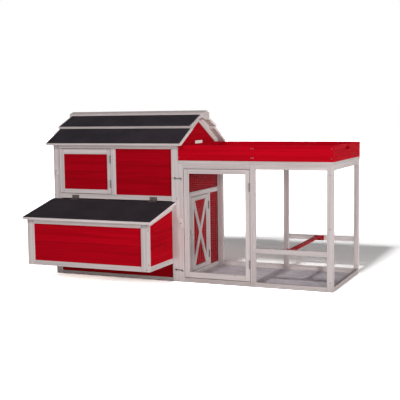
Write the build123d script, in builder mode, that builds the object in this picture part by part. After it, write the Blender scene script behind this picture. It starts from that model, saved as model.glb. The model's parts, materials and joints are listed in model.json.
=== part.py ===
from build123d import *
import math
import os

os.makedirs("parts", exist_ok=True)

# Places are counted from the left face of the house, its front and the ground, in millimetres.
# House
house_width = 1105.0
depth = 806.0
post_depth = 42.0
slim_post_depth = 26.0
rail_depth = 24.0
left_post_width = 53.0
right_post_width = 58.0
back_post_width = 50.0
back_post_rebate = 15.0
base_rail_top = 35.0
front_base_rail_top = 30.0
wall_rail_bottom = 630.0
wall_rail_height = 38.0
sill_rail_bottom = 139.0
sill_rail_height = 37.0
lid_rail_bottom = 620.0
lid_rail_height = 37.0
eave_rail_drop = 26.0
centre_stile_width = 42.0
board_thickness = 10.0
board_recess = 6.0
floor_thickness = 10.0

# Roof, two lapped panels on each slope
eave_height = 1042.0
eave_reach = 44.0
lower_pitch = 27.0
upper_pitch = 22.4
roof_left_reach = 37.0
roof_right_reach = 46.0
panel_thickness = 20.0
felt_thickness = 2.0
felt_edge = 1.0
felt_end_inset = 10.0
upper_panel_run = 196.0
roof_lap = 34.0
rafter_drop = 50.0
ridge_width = 112.0
ridge_housing = 18.0
ridge_chamfer = 20.0
ridge_side_height = 56.0
ridge_peak = 18.5
ridge_left_reach = 54.0
ridge_right_reach = 70.0

# Nest box
nest_left = 0.0
nest_right_inset = 56.0
nest_reach = 394.0
nest_frame_thickness = 18.0
nest_side_thickness = 20.0
nest_left_stile = 60.0
nest_right_stile = 69.0
nest_top_rail_height = 45.0
nest_side_rail_height = 39.0
nest_board_thickness = 8.0
nest_side_recess = 1.0
nest_floor_rise = 2.0
nest_floor_thickness = 9.0
nest_divider_thickness = 10.0
nest_divider_room = 6.0
rake_front_height = 33.5
rake_back_height = 47.6

# Nest box lid
lid_left_reach = 10.0
lid_right_inset = 22.0
lid_reach = 445.0
lid_pitch = 13.1
lid_thickness = 20.0
lid_back_room = 8.0
lid_rail_room = 3.3
lid_seat_gap = 0.5

# Run
run_length = 1200.0
run_left_post_width = 40.0
run_back_left_post_width = 47.0
run_mid_post_width = 40.0
run_mid_shift = 6.0
run_back_mid_shift = 3.0
run_corner_post_width = 49.0
run_back_corner_width = 38.0
run_bottom_rail_top = 36.0
run_mid_rail_bottom = 254.0
run_mid_rail_height = 37.0
run_top_rail_height = 36.0
net_thickness = 1.5
net_wire = 3.0
net_border = 10.0
net_overlap = 24.0
sheet_thickness = 1.5

# Perches
perch_width = 45.0
perch_thickness = 14.0
cradle_cheek = 16.0
cradle_base = 26.0
cradle_length = 18.0
cradle_cheek_rise = 2.0
roost_back_room = 77.0
roost_height = 337.0

# Planter on top of the run
planter_room = 17.4
planter_height = 116.0
planter_wall = 16.0
planter_proud = 2.0
planter_base_width = 60.0
planter_base_height = 24.0
planter_floor_thickness = 8.0
hand_hole_length = 104.0
hand_hole_height = 22.0
hand_hole_sink = 31.0
drain_radius = 6.0
drain_columns = 7
drain_rows = 3

# Blank plate on the gable
plate_width = 138.0
plate_shift = 8.0
plate_height = 29.0
plate_thickness = 2.5
plate_sink = 6.5

# House door
door_thickness = 20.0
door_panel_thickness = 8.0
door_gap = 3.5
house_door_width = 464.5
house_door_left_stile = 39.0
house_door_right_stile = 30.0
house_door_bottom_rail = 33.0
house_door_top_rail = 40.0

# Run door
run_door_gap = 4.0
run_door_left_stile = 36.0
run_door_right_stile = 34.0
run_door_bottom_rail = 42.0
run_door_top_rail = 34.0
run_door_net_inset = 8.0
door_stop_depth = 12.0
door_stop_drop = 10.0
door_stop_lap = 15.0

# Door between house and run
pop_stile_front = 200.0
pop_stile_width = 44.0
pop_door_width = 331.0
pop_back_stile_width = 36.0
pop_door_stile = 38.0
pop_door_rail = 34.0
brace_width = 40.0
brace_thickness = 6.0

# Hinges
hinge_gap = 3.0
hinge_length = 63.0
house_hinge_inset = 47.5
run_hinge_inset = 95.0
pop_hinge_inset = 60.0
lid_hinge_left_inset = 114.0
lid_hinge_right_inset = 124.0
leaf_thickness = 1.2
leaf_space = 0.6
leaf_depth = 18.0
door_knuckle_radius = 4.0
lid_knuckle_radius = 3.0
knuckle_space = 0.4
knuckle_room = 0.4
pin_radius = 1.5
pin_clearance = 0.05
pin_offset = 4.2
pin_head_radius = 2.2
pin_head = 1.0
lid_leaf_thickness = 1.6
lid_leaf_length = 26.0
lid_pin_offset = 4.0

# Turn buttons and hooks
button_length = 80.0
button_width = 22.0
button_thickness = 9.0
button_tilt = 108.0
face_gap = 0.5
pivot_radius = 2.0
pivot_depth = 18.0
pivot_head_radius = 4.5
pivot_head = 2.2
hook_inset = 25.0
hook_low = 96.0
hook_top_room = 108.0
hook_reach = 50.0
hook_rod_radius = 2.2
hook_rod_start = 3.0
hook_eye_radius = 6.5
hook_eye_thickness = 5.0
hook_offset = 10.5
hook_tip = 12.0
ring_radius = 6.5
ring_wire = 2.0
ring_drop = 6.0

# Screw heads
screw_head_radius = 4.0
screw_head = 1.2
screw_edge = 8.0
corner_screw_inset = 69.0
planter_screw_inset = 24.0

# Fits
joint_gap = 0.2
seat_gap = 0.3

# Sizes that follow
lower_tan = math.tan(math.radians(lower_pitch))
lower_sin = math.sin(math.radians(lower_pitch))
lower_cos = math.cos(math.radians(lower_pitch))
upper_tan = math.tan(math.radians(upper_pitch))
upper_sin = math.sin(math.radians(upper_pitch))
upper_cos = math.cos(math.radians(upper_pitch))
lid_tan = math.tan(math.radians(lid_pitch))
lid_sin = math.sin(math.radians(lid_pitch))
lid_cos = math.cos(math.radians(lid_pitch))
roof_build = panel_thickness + felt_thickness
lid_build = lid_thickness + felt_thickness
eave_tip = eave_reach + roof_build * lower_sin
board_inside = board_recess + board_thickness

right_post_left = house_width - right_post_width
right_rail_left = house_width - rail_depth
back_wall = depth - slim_post_depth
board_back = back_wall + back_post_rebate
back_rail_front = depth - rail_depth
wall_rail_top = wall_rail_bottom + wall_rail_height
sill_rail_top = sill_rail_bottom + sill_rail_height
lid_rail_top = lid_rail_bottom + lid_rail_height
front_top_rail_bottom = eave_height - eave_rail_drop
ridge_mid = depth / 2
ridge_side = ridge_mid - ridge_width / 2
upper_panel_low = ridge_side - upper_panel_run
lower_panel_top = upper_panel_low + roof_lap

nest_right = house_width - nest_right_inset
nest_bottom = sill_rail_bottom
nest_front_rail_top = sill_rail_top
nest_side_rail_top = nest_bottom + nest_side_rail_height
nest_floor_bottom = nest_bottom + nest_floor_rise
lid_left = -lid_left_reach
lid_right = house_width - lid_right_inset
lid_end_y = -lid_back_room
lid_end_z = lid_rail_bottom - lid_rail_room
lid_front_height = lid_end_z - (lid_reach - lid_back_room) * lid_tan

run_right = house_width + run_length
run_middle = house_width + run_length / 2 - run_mid_shift
run_front_post_right = house_width + run_left_post_width
run_mid_post_left = run_middle - run_mid_post_width / 2
run_mid_post_right = run_middle + run_mid_post_width / 2
run_back_middle = house_width + run_length / 2 + run_back_mid_shift
back_mid_left = run_back_middle - run_mid_post_width / 2
back_mid_right = run_back_middle + run_mid_post_width / 2
corner_left = run_right - run_corner_post_width
back_corner_left = run_right - run_back_corner_width
end_rail_left = run_right - rail_depth
planter_right = run_right + planter_proud
planter_front = -planter_proud
planter_back = depth + planter_proud


def roof_under(y):
    """Height of the underside of the lower roof panel."""
    return eave_height + (y + eave_reach) * lower_tan


lap_y = lower_panel_top - roof_build * lower_sin
lap_z = roof_under(lower_panel_top) + roof_build * lower_cos + seat_gap


def upper_under(y):
    """Height of the underside of the upper roof panel."""
    return lap_z + (y - lap_y) * upper_tan


def rafter_low(y):
    """Height of the lower edge of a gable rafter."""
    return roof_under(y) - rafter_drop


def lid_under(y):
    """Height of the underside of the nest box lid."""
    return lid_front_height + (y + lid_reach) * lid_tan - lid_build / lid_cos


def rake_low(y):
    """Height of the lower edge of the top rail in the nest box sides."""
    front_y = nest_frame_thickness - nest_reach
    front_z = lid_under(front_y) - rake_front_height
    back_z = lid_under(0) - rake_back_height
    return front_z - (y - front_y) * (back_z - front_z) / front_y


ridge_bottom = upper_under(ridge_side) - ridge_housing
ridge_shoulder = ridge_bottom + ridge_side_height
ridge_top = ridge_shoulder + ridge_peak
nest_front_top_rail_bottom = lid_under(-nest_reach) - nest_top_rail_height
planter_top = roof_under(planter_front) - planter_room
planter_bottom = planter_top - planter_height
run_top = planter_bottom - planter_base_height
run_top_rail_bottom = run_top - run_top_rail_height
run_mid_rail_top = run_mid_rail_bottom + run_mid_rail_height
net_low = run_bottom_rail_top - net_overlap
net_high = run_top_rail_bottom + net_overlap

perch_left = (run_mid_post_right + corner_left - perch_width) / 2
perch_right = perch_left + perch_width
perch_bottom = run_mid_rail_bottom + cradle_base
roost_front = depth - board_inside - roost_back_room - perch_width
roost_bottom = base_rail_top + roost_height

house_door_left = left_post_width + door_gap
house_door_right = house_door_left + house_door_width
house_door_bottom = lid_rail_top + door_gap
house_door_top = front_top_rail_bottom - door_gap
centre_stile_left = house_door_right + hinge_gap
centre_stile_right = centre_stile_left + centre_stile_width
run_door_left = run_front_post_right + run_door_gap
run_door_right = run_mid_post_left - hinge_gap
run_door_bottom = run_bottom_rail_top + run_door_gap
run_door_top = run_top_rail_bottom - run_door_gap
pop_door_front = pop_stile_front + pop_stile_width + door_gap
pop_door_back = pop_door_front + pop_door_width
pop_door_bottom = base_rail_top + door_gap
pop_door_top = wall_rail_bottom - door_gap
pop_back_stile = pop_door_back + hinge_gap

knuckle_length = (hinge_length - 2 * knuckle_space) / 3
knuckle_starts = [k * (knuckle_length + knuckle_space) for k in range(3)]
hook_pivot_x = house_width - hook_inset
hook_eye_x = hook_pivot_x + hook_reach
hook_heights = (hook_low, run_top - hook_top_room)
x_mid = (planter_right - ridge_left_reach) / 2
y_mid = (depth + eave_tip - lid_reach) / 2


def across(points):
    """The same outline on the back slope."""
    return [(depth - y, z) for y, z in points]


def bar(x, y, z, mode=Mode.ADD):
    """A straight piece between two limits along each axis."""
    with BuildSketch(Plane.XY.offset(z[0])) as outline:
        with Locations(((x[0] + x[1]) / 2 - x_mid, (y[0] + y[1]) / 2 - y_mid)):
            Rectangle(x[1] - x[0], y[1] - y[0])
    extrude(outline.sketch, amount=z[1] - z[0], mode=mode)


def side_piece(points, x, mode=Mode.ADD):
    """A piece with a side outline in y and z, between two x limits."""
    with BuildSketch(Plane.YZ.offset(x[0] - x_mid)) as outline:
        with BuildLine():
            Polyline(*[(y - y_mid, z) for y, z in points], close=True)
        make_face()
    extrude(outline.sketch, amount=x[1] - x[0], mode=mode)


def rod_x(y, z, radius, x, mode=Mode.ADD):
    """A round bar along x."""
    with BuildSketch(Plane.YZ.offset(x[0] - x_mid)) as outline:
        with Locations((y - y_mid, z)):
            Circle(radius)
    extrude(outline.sketch, amount=x[1] - x[0], mode=mode)


def rod_y(x, z, radius, y, mode=Mode.ADD):
    """A round bar along y."""
    with BuildSketch(Plane.XZ.offset(y_mid - y[0])) as outline:
        with Locations((x - x_mid, z)):
            Circle(radius)
    extrude(outline.sketch, amount=y[0] - y[1], mode=mode)


def rod_z(x, y, radius, z, mode=Mode.ADD):
    """A round bar along z."""
    with BuildSketch(Plane.XY.offset(z[0])) as outline:
        with Locations((x - x_mid, y - y_mid)):
            Circle(radius)
    extrude(outline.sketch, amount=z[1] - z[0], mode=mode)


def net(plane, width, height, columns, rows):
    """A flat net with a border, centred on its plane."""
    pitch_x = (width - 2 * net_border + net_wire) / columns
    pitch_y = (height - 2 * net_border + net_wire) / rows
    with BuildSketch(plane) as outline:
        Rectangle(width, height)
        with GridLocations(pitch_x, pitch_y, columns, rows):
            Rectangle(pitch_x - net_wire, pitch_y - net_wire, mode=Mode.SUBTRACT)
    extrude(outline.sketch, amount=net_thickness)


def door_leaf(plane, side, starts):
    """A hinge leaf in a door gap, with its knuckles round the pin."""
    middle = side * (leaf_space + leaf_thickness) / 2
    with BuildSketch(plane) as plate:
        with Locations((middle, (leaf_depth + knuckle_room) / 2)):
            Rectangle(leaf_thickness, leaf_depth - knuckle_room)
    extrude(plate.sketch, amount=hinge_length)
    for start in starts:
        with BuildSketch(plane.offset(start)) as knuckle:
            with Locations((middle, (knuckle_room - pin_offset) / 2)):
                Rectangle(leaf_thickness, knuckle_room + pin_offset)
            with Locations((0, -pin_offset)):
                Circle(door_knuckle_radius)
                Circle(pin_radius + pin_clearance, mode=Mode.SUBTRACT)
        extrude(knuckle.sketch, amount=knuckle_length)


def flap_leaf(plane, starts):
    """A surface hinge leaf of the lid, with its knuckles round the pin."""
    height = lid_leaf_thickness / 2 - lid_pin_offset
    clear = lid_knuckle_radius + knuckle_room
    with BuildSketch(plane) as plate:
        with Locations(((lid_leaf_length + clear) / 2, height)):
            Rectangle(lid_leaf_length - clear, lid_leaf_thickness)
    extrude(plate.sketch, amount=hinge_length)
    for start in starts:
        with BuildSketch(plane.offset(start)) as knuckle:
            with Locations((clear / 2, height)):
                Rectangle(clear, lid_leaf_thickness)
            Circle(lid_knuckle_radius)
            Circle(pin_radius + pin_clearance, mode=Mode.SUBTRACT)
        extrude(knuckle.sketch, amount=knuckle_length)


def pin(plane, offset):
    """A hinge pin with a small head at each end."""
    with BuildSketch(plane) as shaft:
        with Locations((0, -offset)):
            Circle(pin_radius)
    extrude(shaft.sketch, amount=hinge_length)
    for start in (-pin_head, hinge_length):
        with BuildSketch(plane.offset(start)) as head:
            with Locations((0, -offset)):
                Circle(pin_head_radius)
        extrude(head.sketch, amount=pin_head)


def front_hinge(axis_x, z):
    """Plane of a door hinge in the front, its depth pointing inwards."""
    return Plane(origin=(axis_x - x_mid, -y_mid, z), x_dir=(1, 0, 0), z_dir=(0, 0, 1))


def inner_hinge(axis_y, z):
    """Plane of a hinge in the wall between house and run."""
    return Plane(origin=(house_width - x_mid, axis_y - y_mid, z), x_dir=(0, 1, 0), z_dir=(0, 0, 1))


def hinge_heights(low, high, inset):
    """Lower ends of the two hinges of a door."""
    return (low + inset, high - inset - hinge_length)


house_hinge_x = (house_door_right + centre_stile_left) / 2
run_hinge_x = (run_door_right + run_mid_post_left) / 2
pop_hinge_y = (pop_door_back + pop_back_stile) / 2
house_hinges = [
    front_hinge(house_hinge_x, z)
    for z in hinge_heights(house_door_bottom, house_door_top, house_hinge_inset)
]
run_hinges = [
    front_hinge(run_hinge_x, z) for z in hinge_heights(run_door_bottom, run_door_top, run_hinge_inset)
]
pop_hinges = [
    inner_hinge(pop_hinge_y, z) for z in hinge_heights(pop_door_bottom, pop_door_top, pop_hinge_inset)
]
lid_hinge_x = (
    left_post_width + lid_hinge_left_inset,
    right_post_left - lid_hinge_right_inset - hinge_length,
)

lid_axis_y = -lid_pin_offset
lid_axis_along = (lid_axis_y - lid_end_y + lid_pin_offset * lid_sin) / lid_cos
lid_axis_z = lid_end_z + lid_pin_offset * lid_cos + lid_axis_along * lid_sin
wall_leaf_planes = [
    Plane(origin=(x - x_mid, lid_axis_y - y_mid, lid_axis_z), x_dir=(0, 0, 1), z_dir=(1, 0, 0))
    for x in lid_hinge_x
]
lid_leaf_planes = [
    Plane(
        origin=(x + hinge_length - x_mid, lid_axis_y - y_mid, lid_axis_z),
        x_dir=(0, -lid_cos, -lid_sin),
        z_dir=(-1, 0, 0),
    )
    for x in lid_hinge_x
]

house_button = (left_post_width / 2, (house_door_bottom + house_door_top) / 2)
run_button = (house_width + run_left_post_width / 2, (run_door_bottom + run_door_top) / 2)
pop_button = (pop_stile_front + pop_stile_width / 2, (pop_door_bottom + pop_door_top) / 2)


def post_side(thickness):
    """Side outline of a corner post under the lower roof panel."""
    return [
        (0, 0),
        (thickness, 0),
        (thickness, roof_under(thickness) - seat_gap),
        (0, roof_under(0) - seat_gap),
    ]


def rafter_side(thickness):
    """Side outline of a rafter that starts behind a corner post."""
    start = thickness + joint_gap
    step = lower_panel_top + seat_gap
    notch = ridge_side - joint_gap
    return [
        (start, rafter_low(start)),
        (ridge_mid - joint_gap / 2, rafter_low(ridge_mid - joint_gap / 2)),
        (ridge_mid - joint_gap / 2, ridge_bottom - seat_gap),
        (ridge_side + ridge_chamfer, ridge_bottom - seat_gap),
        (notch, upper_under(notch) - seat_gap),
        (step, upper_under(step) - seat_gap),
        (step, roof_under(step) - seat_gap),
        (start, roof_under(start) - seat_gap),
    ]


# House front
with BuildPart() as house_front_posts:
    side_piece(post_side(post_depth), (0, left_post_width))
    side_piece(post_side(post_depth), (right_post_left, house_width))
    bar(
        (centre_stile_left, centre_stile_right),
        (0, rail_depth),
        (lid_rail_top + joint_gap, front_top_rail_bottom - joint_gap),
    )
    bore = pivot_radius + pin_clearance
    rod_y(house_button[0], house_button[1], bore, (0, pivot_depth + joint_gap), Mode.SUBTRACT)
    for height in hook_heights:
        rod_y(hook_pivot_x, height, bore, (0, pivot_depth + joint_gap), Mode.SUBTRACT)

with BuildPart() as house_front_rails:
    front_span = (left_post_width + joint_gap, right_post_left - joint_gap)
    bar(front_span, (0, rail_depth), (0, front_base_rail_top))
    bar(front_span, (0, rail_depth), (sill_rail_bottom, sill_rail_top))
    bar(front_span, (0, rail_depth), (lid_rail_bottom, lid_rail_top))
    side_piece(
        [
            (0, front_top_rail_bottom),
            (rail_depth, front_top_rail_bottom),
            (rail_depth, roof_under(rail_depth) - seat_gap),
            (0, roof_under(0) - seat_gap),
        ],
        front_span,
    )

with BuildPart() as house_front_boards:
    front_boards = (board_recess, board_recess + board_thickness)
    bar((centre_stile_right, right_post_left), front_boards, (lid_rail_top, front_top_rail_bottom))
    bar((left_post_width, right_post_left), front_boards, (front_base_rail_top, sill_rail_bottom))

# Side walls and gables of the house
board_back_top = rafter_low(slim_post_depth)
gable_side = [
    (post_depth, wall_rail_top),
    (board_back, wall_rail_top),
    (board_back, board_back_top),
    (back_wall, board_back_top),
    (ridge_mid, rafter_low(ridge_mid)),
    (post_depth, rafter_low(post_depth)),
]
wall_span = (post_depth + joint_gap, back_wall - joint_gap)

with BuildPart() as house_left_frame:
    left_rails = (0, rail_depth)
    bar(left_rails, wall_span, (0, base_rail_top))
    bar(left_rails, wall_span, (wall_rail_bottom, wall_rail_top))
    side_piece(rafter_side(post_depth), left_rails)
    side_piece(across(rafter_side(slim_post_depth)), left_rails)

with BuildPart() as house_left_boards:
    left_boards = (board_recess, board_recess + board_thickness)
    bar(left_boards, (post_depth, board_back), (base_rail_top, wall_rail_bottom))
    side_piece(gable_side, left_boards)

with BuildPart() as house_right_frame:
    right_rails = (right_rail_left, house_width)
    bar(right_rails, wall_span, (0, base_rail_top))
    bar(right_rails, wall_span, (wall_rail_bottom, wall_rail_top))
    stile_span = (base_rail_top + joint_gap, wall_rail_bottom - joint_gap)
    bar(right_rails, (pop_stile_front, pop_stile_front + pop_stile_width), stile_span)
    bar(right_rails, (pop_back_stile, pop_back_stile + pop_back_stile_width), stile_span)
    side_piece(rafter_side(post_depth), right_rails)
    side_piece(across(rafter_side(slim_post_depth)), right_rails)
    rod_x(
        pop_button[0],
        pop_button[1],
        pivot_radius + pin_clearance,
        (house_width - pivot_depth - joint_gap, house_width),
        Mode.SUBTRACT,
    )

with BuildPart() as house_right_boards:
    right_boards = (house_width - board_recess - board_thickness, house_width - board_recess)
    bar(right_boards, (post_depth, pop_stile_front), (base_rail_top, wall_rail_bottom))
    bar(
        right_boards,
        (pop_back_stile + pop_back_stile_width, board_back),
        (base_rail_top, wall_rail_bottom),
    )
    side_piece(gable_side, right_boards)

# Back of the house
with BuildPart() as house_back_frame:
    side_piece(across(post_side(slim_post_depth)), (0, back_post_width))
    side_piece(across(post_side(slim_post_depth)), (house_width - back_post_width, house_width))
    for rebate in ((0, board_inside), (house_width - board_inside, house_width)):
        bar(rebate, (back_wall, board_back), (base_rail_top, board_back_top), Mode.SUBTRACT)
    back_span = (back_post_width + joint_gap, house_width - back_post_width - joint_gap)
    bar(back_span, (back_rail_front, depth), (0, base_rail_top))
    bar(back_span, (back_rail_front, depth), (wall_rail_bottom, wall_rail_top))
    side_piece(
        across(
            [
                (0, front_top_rail_bottom),
                (rail_depth, front_top_rail_bottom),
                (rail_depth, roof_under(rail_depth) - seat_gap),
                (0, roof_under(0) - seat_gap),
            ]
        ),
        back_span,
    )

with BuildPart() as house_back_boards:
    back_boards = (depth - board_recess - board_thickness, depth - board_recess)
    back_width = (back_post_width, house_width - back_post_width)
    bar(back_width, back_boards, (base_rail_top, wall_rail_bottom))
    bar(back_width, back_boards, (wall_rail_top, front_top_rail_bottom))

# Inside the house
with BuildPart() as house_floor:
    floor_height = (base_rail_top, base_rail_top + floor_thickness)
    bar((left_post_width, right_post_left), (board_inside, depth - board_inside), floor_height)
    bar((board_inside, right_rail_left), (post_depth, back_wall), floor_height)

with BuildPart() as house_roost:
    bar(
        (board_inside, house_width - board_inside),
        (roost_front, roost_front + perch_width),
        (roost_bottom, roost_bottom + perch_thickness),
    )

# Roof
roof_span = (-roof_left_reach, house_width + roof_right_reach)
felt_span = (roof_span[0] + felt_end_inset, roof_span[1] - felt_end_inset)
low_a = (-eave_reach, eave_height)
low_b = (lower_panel_top, roof_under(lower_panel_top))


def raised(point, amount):
    """A point moved square to the lower slope."""
    return (point[0] - amount * lower_sin, point[1] + amount * lower_cos)


def lifted(point, amount):
    """A point moved square to the upper slope."""
    return (point[0] - amount * upper_sin, point[1] + amount * upper_cos)


lower_panel = [low_a, low_b, raised(low_b, panel_thickness), raised(low_a, panel_thickness)]
lower_felt = [
    raised(low_a, panel_thickness),
    raised(low_b, panel_thickness),
    raised(low_b, roof_build),
    raised(low_a, roof_build),
]
up_a = (upper_panel_low, upper_under(upper_panel_low))
up_b = (ridge_side - joint_gap, upper_under(ridge_side - joint_gap))
plumb = panel_thickness / upper_cos
plumb_felt = roof_build / upper_cos
upper_panel = [up_a, up_b, (up_b[0], up_b[1] + plumb), lifted(up_a, panel_thickness)]
upper_felt = [
    lifted(up_a, panel_thickness),
    (up_b[0], up_b[1] + plumb),
    (up_b[0], up_b[1] + plumb_felt),
    lifted(up_a, roof_build),
]

with BuildPart() as roof_front_lower_panel:
    side_piece(lower_panel, roof_span)

with BuildPart() as roof_front_upper_panel:
    side_piece(upper_panel, roof_span)

with BuildPart() as roof_back_lower_panel:
    side_piece(across(lower_panel), roof_span)

with BuildPart() as roof_back_upper_panel:
    side_piece(across(upper_panel), roof_span)

with BuildPart() as roof_felts:
    for felt in (lower_felt, upper_felt):
        side_piece(felt, felt_span)
        side_piece(across(felt), felt_span)

with BuildPart() as ridge_beam:
    ridge_foot = ridge_bottom + ridge_housing
    ridge_half = [
        (ridge_side + ridge_chamfer, ridge_bottom),
        (ridge_side, ridge_foot),
        (ridge_side, ridge_shoulder),
        (ridge_mid, ridge_top),
    ]
    side_piece(
        ridge_half + across(ridge_half[:3])[::-1],
        (-ridge_left_reach, house_width + ridge_right_reach),
    )

# Blank plate on the right gable
with BuildPart() as gable_plate:
    plate_middle = ridge_mid + plate_shift
    bar(
        (house_width - board_recess, house_width - board_recess + plate_thickness),
        (plate_middle - plate_width / 2, plate_middle + plate_width / 2),
        (planter_top - plate_sink, planter_top - plate_sink + plate_height),
    )

# Nest box
nest_inner_front = -nest_reach + nest_frame_thickness
nest_inner_left = nest_left + nest_side_thickness
nest_inner_right = nest_right - nest_side_thickness
nest_front_top = [
    (-nest_reach, lid_under(-nest_reach) - lid_seat_gap),
    (nest_inner_front, lid_under(nest_inner_front) - lid_seat_gap),
]

with BuildPart() as nest_front_frame:
    stile_side = [(-nest_reach, nest_bottom), (nest_inner_front, nest_bottom)] + nest_front_top[::-1]
    top_rail_side = [
        (-nest_reach, nest_front_top_rail_bottom),
        (nest_inner_front, nest_front_top_rail_bottom),
    ] + nest_front_top[::-1]
    side_piece(stile_side, (nest_left, nest_left + nest_left_stile))
    side_piece(stile_side, (nest_right - nest_right_stile, nest_right))
    nest_span = (
        nest_left + nest_left_stile + joint_gap,
        nest_right - nest_right_stile - joint_gap,
    )
    bar(nest_span, (-nest_reach, nest_inner_front), (nest_bottom, nest_front_rail_top))
    side_piece(top_rail_side, nest_span)

with BuildPart() as nest_side_frames:
    side_front = nest_inner_front + joint_gap
    for side in ((nest_left, nest_inner_left), (nest_inner_right, nest_right)):
        bar(side, (side_front, 0), (nest_bottom, nest_side_rail_top))
        side_piece(
            [
                (side_front, rake_low(side_front)),
                (0, rake_low(0)),
                (0, lid_under(0) - lid_seat_gap),
                (side_front, lid_under(side_front) - lid_seat_gap),
            ],
            side,
        )

with BuildPart() as nest_boards:
    bar(
        (nest_left + nest_left_stile, nest_right - nest_right_stile),
        (-nest_reach + board_recess, -nest_reach + board_recess + nest_board_thickness),
        (nest_front_rail_top, nest_front_top_rail_bottom),
    )
    for outside, inward in ((nest_left, 1), (nest_right, -1)):
        outer_face = outside + inward * nest_side_recess
        faces = sorted((outer_face, outer_face + inward * nest_board_thickness))
        side_piece(
            [
                (nest_inner_front, nest_side_rail_top),
                (0, nest_side_rail_top),
                (0, rake_low(0)),
                (nest_inner_front, rake_low(nest_inner_front)),
            ],
            faces,
        )

with BuildPart() as nest_floor:
    nest_floor_top = nest_floor_bottom + nest_floor_thickness
    bar(
        (nest_inner_left, nest_inner_right),
        (nest_inner_front, 0),
        (nest_floor_bottom, nest_floor_top),
    )

with BuildPart() as nest_dividers:
    room = (nest_inner_right - nest_inner_left) / 3
    for k in (1, 2):
        middle = nest_inner_left + k * room
        side_piece(
            [
                (nest_inner_front, nest_floor_top),
                (0, nest_floor_top),
                (0, lid_under(0) - nest_divider_room),
                (nest_inner_front, lid_under(nest_inner_front) - nest_divider_room),
            ],
            (middle - nest_divider_thickness / 2, middle + nest_divider_thickness / 2),
        )

# Run frame
with BuildPart() as run_front_posts:
    for post in (
        (house_width, run_front_post_right),
        (run_mid_post_left, run_mid_post_right),
        (corner_left, run_right),
    ):
        bar(post, (0, slim_post_depth), (0, run_top))
    rod_y(
        run_button[0],
        run_button[1],
        pivot_radius + pin_clearance,
        (0, pivot_depth + joint_gap),
        Mode.SUBTRACT,
    )
    for height in hook_heights:
        rod_y(
            hook_eye_x,
            height - ring_drop,
            ring_wire + pin_clearance,
            (0, pivot_depth + joint_gap),
            Mode.SUBTRACT,
        )

door_bay = (run_front_post_right + joint_gap, run_mid_post_left - joint_gap)
net_bay = (run_mid_post_right + joint_gap, corner_left - joint_gap)
back_bays = [
    (house_width + run_back_left_post_width + joint_gap, back_mid_left - joint_gap),
    (back_mid_right + joint_gap, back_corner_left - joint_gap),
]
end_bay = (slim_post_depth + joint_gap, back_wall - joint_gap)

with BuildPart() as run_front_rails:
    for bay in (door_bay, net_bay):
        bar(bay, (0, rail_depth), (0, run_bottom_rail_top))
        bar(bay, (0, rail_depth), (run_top_rail_bottom, run_top))
    bar(net_bay, (0, rail_depth), (run_mid_rail_bottom, run_mid_rail_top))
    bar(
        door_bay,
        (rail_depth + joint_gap, rail_depth + joint_gap + door_stop_depth),
        (run_top_rail_bottom - door_stop_drop, run_top_rail_bottom + door_stop_lap),
    )

with BuildPart() as run_back_frame:
    for post in (
        (house_width, house_width + run_back_left_post_width),
        (back_mid_left, back_mid_right),
        (back_corner_left, run_right),
    ):
        bar(post, (back_wall, depth), (0, run_top))
    for bay in back_bays:
        bar(bay, (back_rail_front, depth), (0, run_bottom_rail_top))
        bar(bay, (back_rail_front, depth), (run_top_rail_bottom, run_top))
    bar(back_bays[1], (back_rail_front, depth), (run_mid_rail_bottom, run_mid_rail_top))

with BuildPart() as run_end_rails:
    bar((end_rail_left, run_right), end_bay, (0, run_bottom_rail_top))
    bar((end_rail_left, run_right), end_bay, (run_top_rail_bottom, run_top))

# Nets of the run
net_height = net_high - net_low
net_middle = (net_high + net_low) / 2


def net_plane(x, y, x_dir, z_dir):
    """Plane at the middle of a net."""
    return Plane(origin=(x - x_mid, y - y_mid, net_middle), x_dir=x_dir, z_dir=z_dir)


with BuildPart() as run_front_net:
    net(
        net_plane(sum(net_bay) / 2, rail_depth, (-1, 0, 0), (0, 1, 0)),
        net_bay[1] - net_bay[0],
        net_height,
        9,
        15,
    )

with BuildPart() as run_end_net:
    net(
        net_plane(end_rail_left, sum(end_bay) / 2, (0, -1, 0), (-1, 0, 0)),
        end_bay[1] - end_bay[0],
        net_height,
        12,
        15,
    )

with BuildPart() as run_back_nets:
    for bay in back_bays:
        net(
            net_plane(sum(bay) / 2, back_rail_front, (1, 0, 0), (0, -1, 0)),
            bay[1] - bay[0],
            net_height,
            9,
            15,
        )

# Ground sheet inside the run
with BuildPart() as run_floor_sheet:
    bar((house_width, end_rail_left), (slim_post_depth, back_wall), (0, sheet_thickness))

# Perch across the run and the cradles that hold both perches
perch_front = rail_depth + net_thickness
perch_back = back_rail_front - net_thickness


def cradle_outline(low, width, bottom):
    """A notched holder: a base under the bar and a cheek on each side."""
    return [
        (low - cradle_cheek, bottom - cradle_base),
        (low + width + cradle_cheek, bottom - cradle_base),
        (low + width + cradle_cheek, bottom + perch_thickness + cradle_cheek_rise),
        (low + width, bottom + perch_thickness + cradle_cheek_rise),
        (low + width, bottom),
        (low, bottom),
        (low, bottom + perch_thickness + cradle_cheek_rise),
        (low - cradle_cheek, bottom + perch_thickness + cradle_cheek_rise),
    ]


with BuildPart() as run_perch:
    bar(
        (perch_left, perch_right),
        (perch_front, perch_back),
        (perch_bottom, perch_bottom + perch_thickness),
    )

with BuildPart() as perch_cradles:
    for start in (perch_front, perch_back - cradle_length):
        with BuildSketch(Plane.XZ.offset(y_mid - start)) as cradle:
            with BuildLine():
                Polyline(
                    *[(x - x_mid, z) for x, z in cradle_outline(perch_left, perch_width, perch_bottom)],
                    close=True,
                )
            make_face()
        extrude(cradle.sketch, amount=-cradle_length)
    for start in (board_inside, house_width - board_inside - cradle_length):
        side_piece(
            cradle_outline(roost_front, perch_width, roost_bottom),
            (start, start + cradle_length),
        )

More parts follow.
